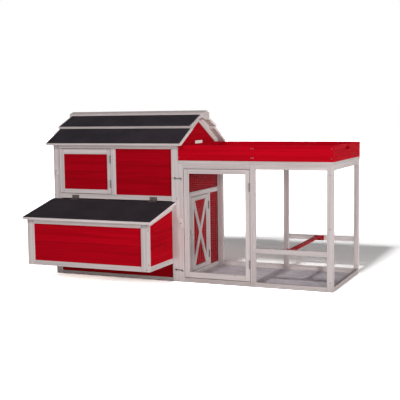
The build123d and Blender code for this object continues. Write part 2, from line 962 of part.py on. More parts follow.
# Planter
with BuildPart() as planter_base:
    base = (run_top, planter_bottom)
    base_span = (
        planter_front + planter_base_width + joint_gap,
        planter_back - planter_base_width - joint_gap,
    )
    bar((house_width, planter_right), (planter_front, planter_front + planter_base_width), base)
    bar((house_width, planter_right), (planter_back - planter_base_width, planter_back), base)
    for middle in (
        house_width + planter_base_width / 2,
        run_middle,
        planter_right - planter_base_width / 2,
    ):
        bar((middle - planter_base_width / 2, middle + planter_base_width / 2), base_span, base)

with BuildPart() as planter_long_walls:
    wall = (planter_bottom, planter_top)
    for side in (
        (planter_front, planter_front + planter_wall),
        (planter_back - planter_wall, planter_back),
    ):
        bar((house_width, run_middle - joint_gap / 2), side, wall)
        bar((run_middle + joint_gap / 2, planter_right), side, wall)

with BuildPart() as planter_end_walls:
    end_span = (planter_front + planter_wall, planter_back - planter_wall)
    bar((house_width, house_width + planter_wall), end_span, wall)
    bar((planter_right - planter_wall, planter_right), end_span, wall)
    with BuildSketch(Plane.YZ.offset(planter_right - planter_wall - x_mid)) as hand_hole:
        with Locations((ridge_mid - y_mid, planter_top - hand_hole_sink)):
            SlotOverall(hand_hole_length, hand_hole_height)
    extrude(hand_hole.sketch, amount=planter_wall, mode=Mode.SUBTRACT)

with BuildPart() as planter_floor:
    inside_x = (house_width + planter_wall, planter_right - planter_wall)
    bar(inside_x, end_span, (planter_bottom, planter_bottom + planter_floor_thickness))
    with BuildSketch(Plane.XY.offset(planter_bottom)) as drains:
        with Locations((sum(inside_x) / 2 - x_mid, sum(end_span) / 2 - y_mid)):
            with GridLocations(
                (inside_x[1] - inside_x[0]) / (drain_columns + 1),
                (end_span[1] - end_span[0]) / (drain_rows + 1),
                drain_columns,
                drain_rows,
            ):
                Circle(drain_radius)
    extrude(drains.sketch, amount=planter_floor_thickness, mode=Mode.SUBTRACT)

# House door
with BuildPart() as house_door_frame:
    door_depth = (0, door_thickness)
    door_height = (house_door_bottom, house_door_top)
    opening_left = house_door_left + house_door_left_stile
    opening_right = house_door_right - house_door_right_stile
    bar((house_door_left, opening_left), door_depth, door_height)
    bar((opening_right, house_door_right), door_depth, door_height)
    door_span = (opening_left + joint_gap, opening_right - joint_gap)
    bar(door_span, door_depth, (house_door_bottom, house_door_bottom + house_door_bottom_rail))
    bar(door_span, door_depth, (house_door_top - house_door_top_rail, house_door_top))

with BuildPart() as house_door_panel:
    bar(
        (opening_left, opening_right),
        (board_recess, board_recess + door_panel_thickness),
        (house_door_bottom + house_door_bottom_rail, house_door_top - house_door_top_rail),
    )

# Run door
with BuildPart() as run_door_frame:
    run_opening_left = run_door_left + run_door_left_stile
    run_opening_right = run_door_right - run_door_right_stile
    run_door_height = (run_door_bottom, run_door_top)
    bar((run_door_left, run_opening_left), door_depth, run_door_height)
    bar((run_opening_right, run_door_right), door_depth, run_door_height)
    run_door_span = (run_opening_left + joint_gap, run_opening_right - joint_gap)
    bar(run_door_span, door_depth, (run_door_bottom, run_door_bottom + run_door_bottom_rail))
    bar(run_door_span, door_depth, (run_door_top - run_door_top_rail, run_door_top))

with BuildPart() as run_door_net:
    net(
        Plane(
            origin=(
                (run_door_left + run_door_right) / 2 - x_mid,
                door_thickness - y_mid,
                (run_door_bottom + run_door_top) / 2,
            ),
            x_dir=(-1, 0, 0),
            z_dir=(0, 1, 0),
        ),
        run_door_right - run_door_left - 2 * run_door_net_inset,
        run_door_top - run_door_bottom - 2 * run_door_net_inset,
        9,
        14,
    )

# Door between house and run
pop_faces = (house_width - door_thickness, house_width)
pop_panel_front = pop_door_front + pop_door_stile
pop_panel_back = pop_door_back - pop_door_stile
pop_panel_low = pop_door_bottom + pop_door_rail
pop_panel_high = pop_door_top - pop_door_rail

with BuildPart() as pop_door_frame:
    pop_height = (pop_door_bottom, pop_door_top)
    bar(pop_faces, (pop_door_front, pop_panel_front), pop_height)
    bar(pop_faces, (pop_panel_back, pop_door_back), pop_height)
    pop_span = (pop_panel_front + joint_gap, pop_panel_back - joint_gap)
    bar(pop_faces, pop_span, (pop_door_bottom, pop_panel_low))
    bar(pop_faces, pop_span, (pop_panel_high, pop_door_top))

with BuildPart() as pop_door_panel:
    bar(
        (house_width - brace_thickness - door_panel_thickness, house_width - brace_thickness),
        (pop_panel_front, pop_panel_back),
        (pop_panel_low, pop_panel_high),
    )

with BuildPart() as pop_door_braces:
    brace_wide = pop_panel_back - pop_panel_front - 2 * joint_gap
    brace_high = pop_panel_high - pop_panel_low - 2 * joint_gap
    brace_angle = math.degrees(math.atan2(brace_high, brace_wide))
    brace_long = 2 * (brace_wide + brace_high)
    brace_middle = ((pop_panel_front + pop_panel_back) / 2 - y_mid, (pop_panel_low + pop_panel_high) / 2)
    brace_plane = Plane.YZ.offset(house_width - brace_thickness - x_mid)
    with BuildSketch(brace_plane) as rising:
        with Locations(brace_middle):
            Rectangle(brace_long, brace_width, rotation=brace_angle)
            Rectangle(brace_wide, brace_high, mode=Mode.INTERSECT)
    extrude(rising.sketch, amount=brace_thickness)
    with BuildSketch(brace_plane) as falling:
        with Locations(brace_middle):
            Rectangle(brace_long, brace_width, rotation=-brace_angle)
            Rectangle(brace_wide, brace_high, mode=Mode.INTERSECT)
            Rectangle(
                brace_long,
                brace_width + 2 * joint_gap,
                rotation=brace_angle,
                mode=Mode.SUBTRACT,
            )
    extrude(falling.sketch, amount=brace_thickness)

# Nest box lid
lid_front = (-lid_reach, lid_front_height)
lid_end = (lid_end_y, lid_end_z)


def lowered(point, amount):
    """A point moved square into the lid from its top."""
    return (point[0] + amount * lid_sin, point[1] - amount * lid_cos)


with BuildPart() as nest_lid_board:
    side_piece(
        [
            lowered(lid_front, lid_build),
            lowered(lid_end, lid_build),
            lowered(lid_end, felt_thickness),
            lowered(lid_front, felt_thickness),
        ],
        (lid_left, lid_right),
    )

with BuildPart() as nest_lid_felt:
    side_piece(
        [lowered(lid_front, felt_thickness), lowered(lid_end, felt_thickness), lid_end, lid_front],
        (lid_left + felt_edge, lid_right - felt_edge),
    )

# Hinges
outer_knuckles = (knuckle_starts[0], knuckle_starts[2])
inner_knuckle = (knuckle_starts[1],)

with BuildPart() as hinge_fixed_leaves:
    for plane in house_hinges + run_hinges + pop_hinges:
        door_leaf(plane, 1, outer_knuckles)
    for plane in wall_leaf_planes:
        flap_leaf(plane, outer_knuckles)

with BuildPart() as hinge_pins:
    for plane in house_hinges + run_hinges + pop_hinges:
        pin(plane, pin_offset)
    for plane in wall_leaf_planes:
        pin(plane, 0)

with BuildPart() as house_door_hinge_leaves:
    for plane in house_hinges:
        door_leaf(plane, -1, inner_knuckle)

with BuildPart() as run_door_hinge_leaves:
    for plane in run_hinges:
        door_leaf(plane, -1, inner_knuckle)

with BuildPart() as pop_door_hinge_leaves:
    for plane in pop_hinges:
        door_leaf(plane, -1, inner_knuckle)

with BuildPart() as nest_lid_hinge_leaves:
    for plane in lid_leaf_planes:
        flap_leaf(plane, inner_knuckle)

# Turn buttons, hooks and their screws
button_faces = (-face_gap - button_thickness, -face_gap)


def front_button(place):
    """A wooden turn button on the front of a post."""
    with BuildSketch(Plane.XZ.offset(y_mid - button_faces[0])) as button:
        with Locations((place[0] - x_mid, place[1])):
            SlotOverall(button_length, button_width, rotation=button_tilt)
            Circle(pivot_radius + pin_clearance, mode=Mode.SUBTRACT)
    extrude(button.sketch, amount=-button_thickness)


with BuildPart() as house_door_button:
    front_button(house_button)

with BuildPart() as run_door_button:
    front_button(run_button)

with BuildPart() as pop_door_button:
    with BuildSketch(Plane.YZ.offset(house_width + face_gap - x_mid)) as button:
        with Locations((pop_button[0] - y_mid, pop_button[1])):
            SlotOverall(button_length, button_width, rotation=button_tilt)
            Circle(pivot_radius + pin_clearance, mode=Mode.SUBTRACT)
    extrude(button.sketch, amount=button_thickness)


def hook(height):
    """A gate hook: an eye round its screw, a rod and a bent tip."""
    faces = (-hook_offset - hook_eye_thickness / 2, -hook_offset + hook_eye_thickness / 2)
    rod_y(hook_pivot_x, height, hook_eye_radius, faces)
    rod_x(-hook_offset, height, hook_rod_radius, (hook_pivot_x + hook_rod_start, hook_eye_x))
    rod_z(hook_eye_x, -hook_offset, hook_rod_radius, (height - hook_tip, height))
    with Locations((hook_eye_x - x_mid, -hook_offset - y_mid, height)):
        Sphere(hook_rod_radius)
    rod_y(hook_pivot_x, height, pivot_radius + pin_clearance, faces, Mode.SUBTRACT)


with BuildPart() as lower_hook:
    hook(hook_heights[0])

with BuildPart() as upper_hook:
    hook(hook_heights[1])

with BuildPart() as latch_eyes:
    for height in hook_heights:
        with Locations((hook_eye_x - x_mid, -hook_offset - y_mid, height - ring_drop)):
            Torus(ring_radius, ring_wire)
        rod_y(hook_eye_x, height - ring_drop, ring_wire, (-hook_offset + ring_radius, pivot_depth))

with BuildPart() as pivot_screws:
    for place in (house_button, run_button):
        rod_y(place[0], place[1], pivot_radius, (button_faces[0] - seat_gap, pivot_depth))
        rod_y(
            place[0],
            place[1],
            pivot_head_radius,
            (button_faces[0] - seat_gap - pivot_head, button_faces[0] - seat_gap),
        )
    pop_face = house_width + face_gap + button_thickness + seat_gap
    rod_x(pop_button[0], pop_button[1], pivot_radius, (house_width - pivot_depth, pop_face))
    rod_x(pop_button[0], pop_button[1], pivot_head_radius, (pop_face, pop_face + pivot_head))
    hook_face = -hook_offset - hook_eye_thickness / 2 - seat_gap
    hook_back = -hook_offset + hook_eye_thickness / 2 + seat_gap
    for height in hook_heights:
        rod_y(hook_pivot_x, height, pivot_radius, (hook_face, pivot_depth))
        rod_y(hook_pivot_x, height, pivot_head_radius, (hook_face - pivot_head, hook_face))
        rod_y(hook_pivot_x, height, pivot_head_radius, (hook_back, 0))

# Screw heads that show on the front
with BuildPart() as frame_screws:
    corner_x = corner_left + run_corner_post_width / 2
    for height in (corner_screw_inset, run_top / 2, run_top - corner_screw_inset):
        rod_y(corner_x, height, screw_head_radius, (-screw_head, 0))
    lid_rail_middle = (lid_rail_bottom + lid_rail_top) / 2
    for x, height in (
        (screw_edge, lid_rail_middle),
        (screw_edge, eave_height - screw_edge),
        (house_width - 2 * screw_edge, lid_rail_middle),
        (house_width - 2 * screw_edge, screw_edge),
    ):
        rod_y(x, height, screw_head_radius, (-screw_head, 0))
    for x in (
        house_width + screw_edge,
        run_middle - screw_edge,
        run_middle + screw_edge,
        planter_right - 2 * screw_edge,
    ):
        for height in (planter_bottom + planter_screw_inset, planter_top - planter_screw_inset):
            rod_y(x, height, screw_head_radius, (planter_front - screw_head, planter_front))
    for x in (run_middle - screw_edge, planter_right - screw_edge):
        rod_y(
            x,
            run_top + planter_base_height / 2,
            screw_head_radius,
            (planter_front - screw_head, planter_front),
        )
    for x, height in (
        (nest_left + screw_edge, nest_bottom + screw_edge),
        (nest_left + screw_edge, nest_front_top_rail_bottom + 2 * screw_edge),
        (nest_right - 3 * screw_edge, nest_bottom + 2 * screw_edge),
        (nest_right - 3 * screw_edge, nest_front_top_rail_bottom + 3 * screw_edge),
        (nest_right - screw_edge, nest_front_rail_top + 2 * screw_edge),
        (nest_right - screw_edge, nest_front_top_rail_bottom - 2 * screw_edge),
    ):
        rod_y(x, height, screw_head_radius, (-nest_reach - screw_head, -nest_reach))

pieces = {
    "house_front_posts": house_front_posts,
    "house_front_rails": house_front_rails,
    "house_front_boards": house_front_boards,
    "house_left_frame": house_left_frame,
    "house_left_boards": house_left_boards,
    "house_right_frame": house_right_frame,
    "house_right_boards": house_right_boards,
    "house_back_frame": house_back_frame,
    "house_back_boards": house_back_boards,
    "house_floor": house_floor,
    "house_roost": house_roost,
    "roof_front_lower_panel": roof_front_lower_panel,
    "roof_front_upper_panel": roof_front_upper_panel,
    "roof_back_lower_panel": roof_back_lower_panel,
    "roof_back_upper_panel": roof_back_upper_panel,
    "roof_felts": roof_felts,
    "ridge_beam": ridge_beam,
    "gable_plate": gable_plate,
    "nest_front_frame": nest_front_frame,
    "nest_side_frames": nest_side_frames,
    "nest_boards": nest_boards,
    "nest_floor": nest_floor,
    "nest_dividers": nest_dividers,
    "run_front_posts": run_front_posts,
    "run_front_rails": run_front_rails,
    "run_back_frame": run_back_frame,
    "run_end_rails": run_end_rails,
    "run_front_net": run_front_net,
    "run_end_net": run_end_net,
    "run_back_nets": run_back_nets,
    "run_floor_sheet": run_floor_sheet,
    "run_perch": run_perch,
    "perch_cradles": perch_cradles,
    "planter_base": planter_base,
    "planter_long_walls": planter_long_walls,
    "planter_end_walls": planter_end_walls,
    "planter_floor": planter_floor,
    "house_door_frame": house_door_frame,
    "house_door_panel": house_door_panel,
    "run_door_frame": run_door_frame,
    "run_door_net": run_door_net,
    "pop_door_frame": pop_door_frame,
    "pop_door_panel": pop_door_panel,
    "pop_door_braces": pop_door_braces,
    "nest_lid_board": nest_lid_board,
    "nest_lid_felt": nest_lid_felt,
    "hinge_fixed_leaves": hinge_fixed_leaves,
    "hinge_pins": hinge_pins,
    "house_door_hinge_leaves": house_door_hinge_leaves,
    "run_door_hinge_leaves": run_door_hinge_leaves,
    "pop_door_hinge_leaves": pop_door_hinge_leaves,
    "nest_lid_hinge_leaves": nest_lid_hinge_leaves,
    "house_door_button": house_door_button,
    "run_door_button": run_door_button,
    "pop_door_button": pop_door_button,
    "lower_hook": lower_hook,
    "upper_hook": upper_hook,
    "latch_eyes": latch_eyes,
    "pivot_screws": pivot_screws,
    "frame_screws": frame_screws,
}

for label, piece in pieces.items():
    piece.part.label = label
    export_step(piece.part, f"parts/{label}.step")
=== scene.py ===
import json
import math
import random

import bmesh
import bpy
from mathutils import Matrix, Vector, noise


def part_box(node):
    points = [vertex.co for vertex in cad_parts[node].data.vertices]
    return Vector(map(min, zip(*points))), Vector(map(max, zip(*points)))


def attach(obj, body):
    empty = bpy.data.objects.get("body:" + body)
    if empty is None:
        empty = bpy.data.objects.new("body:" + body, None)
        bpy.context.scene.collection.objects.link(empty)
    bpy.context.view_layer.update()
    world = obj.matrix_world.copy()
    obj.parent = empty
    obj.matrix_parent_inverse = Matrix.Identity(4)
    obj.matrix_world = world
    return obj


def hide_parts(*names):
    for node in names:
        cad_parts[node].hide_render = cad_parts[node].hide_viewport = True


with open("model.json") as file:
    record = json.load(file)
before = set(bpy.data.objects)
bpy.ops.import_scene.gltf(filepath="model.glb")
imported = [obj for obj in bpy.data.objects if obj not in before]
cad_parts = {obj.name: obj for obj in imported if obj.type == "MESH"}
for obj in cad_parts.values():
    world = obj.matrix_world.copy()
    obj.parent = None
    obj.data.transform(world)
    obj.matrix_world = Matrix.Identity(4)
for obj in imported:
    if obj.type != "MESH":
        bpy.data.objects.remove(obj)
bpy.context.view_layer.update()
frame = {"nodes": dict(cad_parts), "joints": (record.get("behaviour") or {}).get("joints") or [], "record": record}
bodies = frame["record"]["behaviour"]["bodies"]
body_of = {node: body for body, nodes in bodies.items() for node in nodes}
slot_of = {entry["node"]: entry["material_slot"] for entry in frame["record"]["subparts"]}
joint_at = {joint["name"]: Vector(joint["pos_m"]) for joint in frame["joints"]}

# Sizes in metres, ripples in a metre, and where screws sit along a hinge
edge_round = 0.0016
shortest_round = 0.006
felt_round = 0.0007
felt_cell = 0.045
felt_sag = 0.0009
felt_ripples = 9
wire_radius = 0.00025
wire_pitch = 0.0165
wire_stray = 2e-4
wire_sides = 6
staple_pitch = 0.095
staple_width = 0.008
staple_radius = 0.0006
staple_inset = 0.006
staple_sink = 0.0007
staple_rise = 0.0022
sheet_cell = 0.016
sheet_fold = 0.0035
sheet_hem = 0.06
screw_radius = 0.004
planter_screw_radius = 0.0032
screw_height = 0.0012
hinge_screw_radius = 0.0028
hinge_screw_reach = 0.016
hinge_screw_shares = (0.2, 0.8)
lid_pitch = math.radians(13.1)
lid_pin_offset = 0.004
lid_leaf_thickness = 0.0016
join_distance = 1e-6

# Angles between faces that count as flat, and as sharp
flat_angle = math.radians(0.5)
sharp_angle = math.radians(25)

# How far grain, tone and the turn of screws vary from piece to piece
grain_shift = 40
tone_spread = 0.05
screw_turn = 1.5

# Sides of a screw head, as many as its cross has corners
screw_sides = 12

# Camera at the photo's place
picture_width = 400
focal_pixels = 852.82
camera_turn = math.radians(23.41)
camera_tilt = math.radians(-5.88)
camera_roll = math.radians(-0.77)
camera_place = Vector((2.6850, -6.050694, 1.2913))


class Paint:
    """A material in the making: its principled shader and the nodes that feed it."""

    def __init__(self, name):
        self.material = bpy.data.materials.new(name)
        self.material.use_nodes = True
        self.nodes = self.material.node_tree.nodes
        self.links = self.material.node_tree.links
        self.shader = self.nodes["Principled BSDF"]

    def add(self, kind, **settings):
        made = self.nodes.new(kind)
        for key, value in settings.items():
            setattr(made, key, value)
        return made

    def feed(self, socket, value):
        if isinstance(value, bpy.types.NodeSocket):
            self.links.new(value, socket)
        else:
            socket.default_value = value

    def attribute(self, name, output):
        return self.add("ShaderNodeAttribute", attribute_name=name).outputs[output]

    def place(self):
        return self.add("ShaderNodeTexCoord").outputs["Object"]

    def stretched(self, vector, scale):
        made = self.add("ShaderNodeVectorMath", operation="MULTIPLY")
        self.feed(made.inputs[0], vector)
        made.inputs[1].default_value = scale
        return made.outputs["Vector"]

    def noise(self, vector, scale, detail=3.0, roughness=0.5, distortion=0.0):
        made = self.add("ShaderNodeTexNoise")
        self.feed(made.inputs["Vector"], vector)
        made.inputs["Scale"].default_value = scale
        made.inputs["Detail"].default_value = detail
        made.inputs["Roughness"].default_value = roughness
        made.inputs["Distortion"].default_value = distortion
        return made.outputs["Fac"]

    def cells(self, vector, scale):
        made = self.add("ShaderNodeTexVoronoi")
        self.feed(made.inputs["Vector"], vector)
        made.inputs["Scale"].default_value = scale
        return made.outputs["Distance"], made.outputs["Color"]

    def span(self, value, low, high, to_low=0.0, to_high=1.0):
        made = self.add("ShaderNodeMapRange", interpolation_type="SMOOTHSTEP")
        self.feed(made.inputs["Value"], value)
        made.inputs["From Min"].default_value = low
        made.inputs["From Max"].default_value = high
        made.inputs["To Min"].default_value = to_low
        made.inputs["To Max"].default_value = to_high
        return made.outputs["Result"]

    def calc(self, operation, first, second):
        made = self.add("ShaderNodeMath", operation=operation)
        self.feed(made.inputs[0], first)
        self.feed(made.inputs[1], second)
        return made.outputs["Value"]

    def mix(self, share, first, second, blend="MIX"):
        made = self.add("ShaderNodeMix", data_type="RGBA", blend_type=blend)
        self.feed(made.inputs[0], share)
        self.feed(made.inputs[6], first)
        self.feed(made.inputs[7], second)
        return made.outputs[2]

    def brightened(self, colour, value):
        made = self.add("ShaderNodeHueSaturation")
        self.feed(made.inputs["Color"], colour)
        self.feed(made.inputs["Value"], value)
        return made.outputs["Color"]

    def bump(self, height, strength, distance):
        made = self.add("ShaderNodeBump")
        self.feed(made.inputs["Height"], height)
        made.inputs["Strength"].default_value = strength
        made.inputs["Distance"].default_value = distance
        self.links.new(made.outputs["Normal"], self.shader.inputs["Normal"])

    def finish(self, colour, roughness):
        self.feed(self.shader.inputs["Base Color"], colour)
        self.feed(self.shader.inputs["Roughness"], roughness)
        return self.material


def rgb(red, green, blue):
    """A colour with its alpha."""
    return (red, green, blue, 1.0)


def wood(name, light, dark, knot, worn, streak, rough, shine, dirt=0.0):
    """Painted or stained softwood, its grain along each piece."""
    paint = Paint(name)
    grain = paint.attribute("grain", "Vector")
    fibre = paint.noise(paint.stretched(grain, (6.0, 190.0, 190.0)), 1.0, 4.0, 0.6)
    bands = paint.noise(paint.stretched(grain, (1.1, 46.0, 46.0)), 1.0, 4.0, 0.55, 0.6)
    distance, chance = paint.cells(paint.stretched(grain, (7.0, 8.0, 8.0)), 1.0)
    near = paint.span(distance, 0.03, 0.13, 1.0, 0.0)
    chosen = paint.span(chance, 0.80, 0.82)
    knots = paint.calc("MULTIPLY", near, chosen)
    colour = paint.mix(paint.span(bands, 0.30, 0.66), dark, light)
    lines = paint.span(fibre, 0.36, 0.60, streak, 0.0)
    colour = paint.mix(lines, colour, dark)
    colour = paint.mix(knots, colour, knot)
    patch = paint.noise(paint.stretched(grain, (9.0, 60.0, 60.0)), 1.0, 3.0)
    rubbed = paint.calc("MULTIPLY", paint.attribute("edge", "Fac"), paint.span(patch, 0.40, 0.62))
    colour = paint.mix(rubbed, colour, worn)
    if dirt:
        height = paint.add("ShaderNodeSeparateXYZ")
        paint.feed(height.inputs[0], paint.place())
        low = paint.span(height.outputs["Z"], 0.0, 0.09, dirt, 0.0)
        splash = paint.calc("MULTIPLY", low, paint.noise(paint.place(), 14.0, 4.0, 0.6))
        colour = paint.mix(splash, colour, rgb(0.20, 0.17, 0.15))
    # The attribute holds each piece's random tone and its painted light and shade
    colour = paint.brightened(colour, paint.attribute("tone_and_painted_light", "Fac"))
    relief = paint.calc(
        "ADD",
        paint.calc("MULTIPLY", fibre, 0.6),
        paint.calc("MULTIPLY", bands, 0.4),
    )
    paint.bump(relief, 0.35, 0.0006)
    paint.shader.inputs["Specular IOR Level"].default_value = shine
    return paint.finish(colour, paint.span(fibre, 0.3, 0.7, rough + 0.12, rough - 0.08))


def felt_paint():
    """Mineral roofing felt: dark granules with a faint mottle."""
    paint = Paint("roofing_felt")
    grit = paint.noise(paint.place(), 620.0, 2.0, 0.7)
    distance, chance = paint.cells(paint.place(), 430.0)
    mottle = paint.noise(paint.place(), 5.0, 4.0, 0.6)
    granules = paint.span(grit, 0.30, 0.72)
    colour = paint.mix(granules, rgb(0.014, 0.0115, 0.0145), rgb(0.049, 0.041, 0.050))
    colour = paint.mix(paint.span(chance, 0.86, 0.92, 0.0, 0.5), colour, rgb(0.080, 0.074, 0.080))
    colour = paint.brightened(colour, paint.span(mottle, 0.25, 0.75, 0.82, 1.18))
    paint.bump(paint.calc("ADD", grit, distance), 0.5, 0.0009)
    paint.shader.inputs["Specular IOR Level"].default_value = 0.03
    return paint.finish(colour, paint.span(grit, 0.2, 0.8, 0.95, 0.80))


def metal(name, bright, dull, metallic, rough):
    """Worn plated or coated steel."""
    paint = Paint(name)
    patch = paint.noise(paint.place(), 180.0, 4.0, 0.65)
    fine = paint.noise(paint.place(), 1400.0, 2.0, 0.5)
    colour = paint.mix(paint.span(patch, 0.35, 0.65), dull, bright)
    paint.bump(fine, 0.15, 0.0002)
    paint.shader.inputs["Metallic"].default_value = metallic
    return paint.finish(colour, paint.span(patch, 0.3, 0.7, rough + 0.12, rough - 0.08))


def sheet_paint():
    """Grey ground cloth with a fine weave and some dust."""
    paint = Paint("ground_cloth")
    place = paint.place()
    weave = [
        paint.noise(paint.stretched(place, (420.0, 60.0, 1.0)), 1.0, 2.0),
        paint.noise(paint.stretched(place, (60.0, 420.0, 1.0)), 1.0, 2.0),
    ]
    threads = paint.calc("ADD", weave[0], weave[1])
    dust = paint.noise(place, 7.0, 5.0, 0.6, 0.5)
    colour = paint.mix(paint.span(dust, 0.32, 0.70), rgb(0.55, 0.505, 0.56), rgb(0.77, 0.715, 0.78))
    colour = paint.mix(paint.span(threads, 0.80, 1.15, 0.35, 0.0), colour, rgb(0.31, 0.280, 0.31))
    paint.bump(threads, 0.4, 0.0006)
    paint.shader.inputs["Sheen Weight"].default_value = 0.15
    return paint.finish(colour, paint.span(dust, 0.2, 0.8, 0.95, 0.82))


materials = {
    "white_wood": wood(
        "white_washed_wood",
        light=rgb(0.56, 0.500, 0.495),
        dark=rgb(0.43, 0.370, 0.365),
        knot=rgb(0.34, 0.265, 0.245),
        worn=rgb(0.47, 0.395, 0.370),
        streak=0.45,
        rough=0.62,
        shine=0.08,
        dirt=0.5,
    ),
    "red_wood": wood(
        "red_stained_wood",
        light=rgb(0.40, 0.0012, 0.0090),
        dark=rgb(0.29, 0.0008, 0.0055),
        knot=rgb(0.10, 0.004, 0.005),
        worn=rgb(0.31, 0.006, 0.010),
        streak=0.35,
        rough=0.68,
        shine=0.02,
    ),
    "bare_wood": wood(
        "bare_pine",
        light=rgb(0.58, 0.43, 0.27),
        dark=rgb(0.43, 0.29, 0.16),
        knot=rgb(0.20, 0.10, 0.05),
        worn=rgb(0.50, 0.37, 0.24),
        streak=0.5,
        rough=0.65,
        shine=0.15,
    ),
    "felt": felt_paint(),
    "wire": metal(
        "galvanised_wire",
        bright=rgb(0.34, 0.325, 0.32),
        dull=rgb(0.25, 0.24, 0.24),
        metallic=0.2,
        rough=0.5,
    ),
    "ground_sheet": sheet_paint(),
    "blank_plate": metal(
        "matt_plate",
        bright=rgb(0.80, 0.78, 0.75),
        dull=rgb(0.66, 0.64, 0.61),
        metallic=0.1,
        rough=0.55,
    ),
    "dark_steel": metal(
        "dark_bronze_steel",
        bright=rgb(0.095, 0.066, 0.055),
        dull=rgb(0.045, 0.031, 0.027),
        metallic=0.4,
        rough=0.5,
    ),
}
zinc = metal(
    "zinc_screws",
    bright=rgb(0.27, 0.21, 0.20),
    dull=rgb(0.17, 0.13, 0.12),
    metallic=0.4,
    rough=0.5,
)


def cad_mesh(node):
    """A copy of a CAD node's mesh with its corners joined."""
    mesh = bmesh.new()
    mesh.from_mesh(frame["nodes"][node].data)
    bmesh.ops.remove_doubles(mesh, verts=mesh.verts, dist=join_distance)
    mesh.verts.index_update()
    return mesh


def flat_faces(part):
    """Joins the triangles of each flat face."""
    part.normal_update()
    bmesh.ops.dissolve_limit(part, angle_limit=flat_angle, verts=part.verts, edges=part.edges)
    part.normal_update()


def loose_parts(mesh):
    """One mesh for each loose part, in a fixed order."""
    parts = []
    seen = set()
    for start in mesh.verts:
        if start.index in seen:
            continue
        seen.add(start.index)
        group = [start]
        for vert in group:
            for edge in vert.link_edges:
                other = edge.other_vert(vert)
                if other.index not in seen:
                    seen.add(other.index)
                    group.append(other)
        part = bmesh.new()
        twins = {vert.index: part.verts.new(vert.co) for vert in group}
        done = set()
        for vert in group:
            for face in vert.link_faces:
                if face not in done:
                    done.add(face)
                    part.faces.new([twins[corner.index] for corner in face.verts])
        parts.append(part)
    mesh.free()
    return parts


def limits(mesh):
    """Lowest and highest corner of a mesh."""
    low = Vector([min(vert.co[k] for vert in mesh.verts) for k in range(3)])
    high = Vector([max(vert.co[k] for vert in mesh.verts) for k in range(3)])
    return low, high


def whole(mesh):
    """All the geometry of a mesh, for an operator."""
    return mesh.verts[:] + mesh.edges[:] + mesh.faces[:]


def planked(part, axis, width):
    """The part cut into planks across an axis."""
    low, high = limits(part)
    count = max(1, round((high[axis] - low[axis]) / width))
    step = (high[axis] - low[axis]) / count
    across = Vector([1.0 if k == axis else 0.0 for k in range(3)])
    planks = []
    for k in range(count):
        plank = part.copy()
        for turn, cut in ((-1, k), (1, k + 1)):
            if 0 < cut < count:
                bmesh.ops.bisect_plane(
                    plank,
                    geom=whole(plank),
                    plane_co=across * (low[axis] + cut * step),
                    plane_no=across * turn,
                    clear_outer=True,
                )
                open_edges = [edge for edge in plank.edges if edge.is_boundary]
                bmesh.ops.holes_fill(plank, edges=open_edges, sides=0)
        planks.append(plank)
    part.free()
    return planks


def grain_axes(part):
    """The directions along, across and through a piece of timber."""
    longest = max(part.edges, key=lambda edge: edge.calc_length())
    along = (longest.verts[1].co - longest.verts[0].co).normalized()
    widest = max(part.faces, key=lambda face: face.calc_area())
    through = (widest.normal - along * widest.normal.dot(along)).normalized()
    return along, through.cross(along), through


def show(name, mesh, material, node):
    """Makes an object that moves with a CAD node's body."""
    data = bpy.data.meshes.new(name)
    mesh.to_mesh(data)
    mesh.free()
    data.materials.append(material)
    made = bpy.data.objects.new(name, data)
    bpy.context.scene.collection.objects.link(made)
    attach(made, body_of[node])
    return made


def rounded(part, radius):
    """Rounds the sharp edges of a part and returns the faces that makes."""
    sharp = [
        edge
        for edge in part.edges
        if edge.calc_length() > shortest_round and edge.calc_face_angle(0.0) > sharp_angle
    ]
    made = bmesh.ops.bevel(
        part,
        geom=sharp,
        offset=radius,
        segments=2,
        profile=0.5,
        affect="EDGES",
        clamp_overlap=True,
    )
    return set(made["faces"])


def timber(node, planks=None, shade=1.0, steps=()):
    """Shows a CAD node as rounded pieces of timber, each with its own grain.

    Shade and steps paint light and shade: each step is a height, and the shade of the pieces that start above it.
    """
    joined = bmesh.new()
    grain = joined.verts.layers.float_vector.new("grain")
    tone_and_painted_light = joined.verts.layers.float.new("tone_and_painted_light")
    edge = joined.faces.layers.float.new("edge")
    pieces = loose_parts(cad_mesh(node))
    if planks:
        pieces = [plank for part in pieces for plank in planked(part, *planks)]
    for number, part in enumerate(pieces):
        chance = random.Random(f"{node} {number}")
        flat_faces(part)
        axes = grain_axes(part)
        shift = [chance.uniform(0, grain_shift) for axis in axes]
        # Painted light and shade of the piece, then its own random tone
        value = shade
        for height, upper_shade in steps:
            if limits(part)[0].z > height:
                value = upper_shade
        value *= chance.uniform(1 - tone_spread, 1 + tone_spread)
        worn = rounded(part, edge_round)
        twins = {}
        for vert in part.verts:
            twin = joined.verts.new(vert.co)
            twin[grain] = [vert.co.dot(axis) + s for axis, s in zip(axes, shift)]
            twin[tone_and_painted_light] = value
            twins[vert] = twin
        for face in part.faces:
            copy = joined.faces.new([twins[vert] for vert in face.verts])
            copy[edge] = 1.0 if face in worn else 0.0
            copy.smooth = face in worn
        part.free()
    made = show(f"{node}_timber", joined, materials[slot_of[node]], node)
    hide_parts(node)


